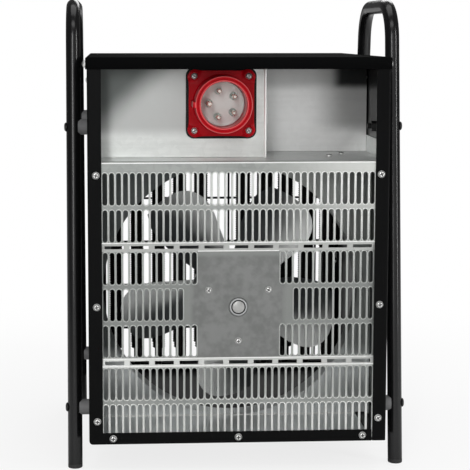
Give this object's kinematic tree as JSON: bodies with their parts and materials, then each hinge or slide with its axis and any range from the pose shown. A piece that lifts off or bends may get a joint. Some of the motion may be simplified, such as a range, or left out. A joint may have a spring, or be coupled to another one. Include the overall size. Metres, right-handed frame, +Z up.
{
  "type": "industrial fan heater",
  "caption": "Portable electric fan heater in a black sheet-metal casing between two bent tube hoops, with a slotted galvanised intake grille and a red multi-pin appliance inlet.",
  "frame": {"origin": "on the ground, in the middle of the heater's outline seen from above", "axes": "+Z up; the air intake and the inlet face -Y, the warm air leaves at +Y; +X is on the right seen from the rear"},
  "size_m": [0.3778, 0.3576, 0.5161],
  "materials": {
    "casing_black": "semi-gloss black powder coat",
    "roof_black": "satin black powder coat",
    "hoop_black": "gloss black paint",
    "guard_black": "black paint on wire",
    "galvanised": "zinc-coated sheet, soft sheen",
    "screw_steel": "bright zinc plating",
    "bolt_black": "black oxide",
    "nut_black": "black oxide",
    "shaft_steel": "turned steel",
    "gasket_rubber": "matt black",
    "inlet_red": "moulded, satin to glossy",
    "insert_grey": "moulded, matt",
    "pin_brass": "bright",
    "cap_black": "matt",
    "spacer_grey": "matt",
    "motor_grey": "cast",
    "motor_steel": "drawn shell",
    "lamination": "stacked sheets",
    "copper_wire": "lacquered copper wire",
    "fan_silver": "pressed sheet",
    "rod_dark": "heat-darkened steel fins",
    "terminal_cream": "moulded",
    "case_dark": "moulded",
    "thermostat_grey": "moulded",
    "knob_black": "moulded, satin",
    "button_red": "moulded"
  },
  "bodies": {
    "housing": {"casing_wrap": "casing_black", "side_panel": "casing_black", "roof": "roof_black", "roof_screws": "screw_steel", "rim_screws": "screw_steel", "side_screws": "screw_steel", "intake_grille": "galvanised", "compartment_floor": "galvanised", "floor_screws": "screw_steel", "recess_back_panel": "galvanised", "inlet_bracket": "galvanised", "inlet_gasket": "gasket_rubber", "inlet_housing": "inlet_red", "inlet_insert": "insert_grey", "inlet_pins": "pin_brass", "inlet_screws": "screw_steel", "hoop_left": "hoop_black", "hoop_right": "hoop_black", "foot_caps": "cap_black", "frame_spacers": "spacer_grey", "frame_bolts": "bolt_black", "frame_nuts": "nut_black", "fan_panel": "galvanised", "motor_rear_cover": "motor_grey", "motor_shell": "motor_steel", "motor_front_cover": "motor_grey", "motor_screws": "screw_steel", "stator_core": "lamination", "stator_winding": "copper_wire", "motor_bearings": "shaft_steel", "heater_rods": "rod_dark", "rod_strap": "galvanised", "rod_nuts": "pin_brass", "front_guard": "guard_black", "guard_clips": "galvanised", "front_fascia": "casing_black", "front_screws": "bolt_black", "terminal_block": "terminal_cream", "contactor": "case_dark", "selector_body": "case_dark", "thermostat_body": "thermostat_grey", "cutout_body": "case_dark", "reset_spring": "shaft_steel"},
    "rotor": {"rotor_core": "lamination", "motor_shaft": "shaft_steel", "fan_wheel": "fan_silver", "fan_hub": "motor_grey", "fan_nut": "shaft_steel"},
    "selector": {"selector_shaft": "shaft_steel", "selector_knob": "knob_black"},
    "thermostat": {"thermostat_shaft": "shaft_steel", "thermostat_knob": "knob_black"},
    "reset": {"reset_button": "button_red"}
  },
  "joints": [
    {"name": "fan_spin", "type": "hinge", "parent": "housing", "child": "rotor", "pos_m": [0, -0.0564, 0.182], "axis": [0, 1, 0], "continuous": true},
    {"name": "selector_turn", "type": "hinge", "parent": "housing", "child": "selector", "pos_m": [0.07, 0.1564, 0.3965], "axis": [0, 1, 0], "range_deg": [0, 135]},
    {"name": "thermostat_turn", "type": "hinge", "parent": "housing", "child": "thermostat", "pos_m": [-0.07, 0.1564, 0.3965], "axis": [0, 1, 0], "range_deg": [0, 270]},
    {"name": "reset_press", "type": "slide", "parent": "housing", "child": "reset", "axis": [0, -1, 0], "range_m": [0, 0.0025], "stiffness_N_per_m": 800, "springref_m": -0.001, "deforming": ["reset_spring"]}
  ]
}
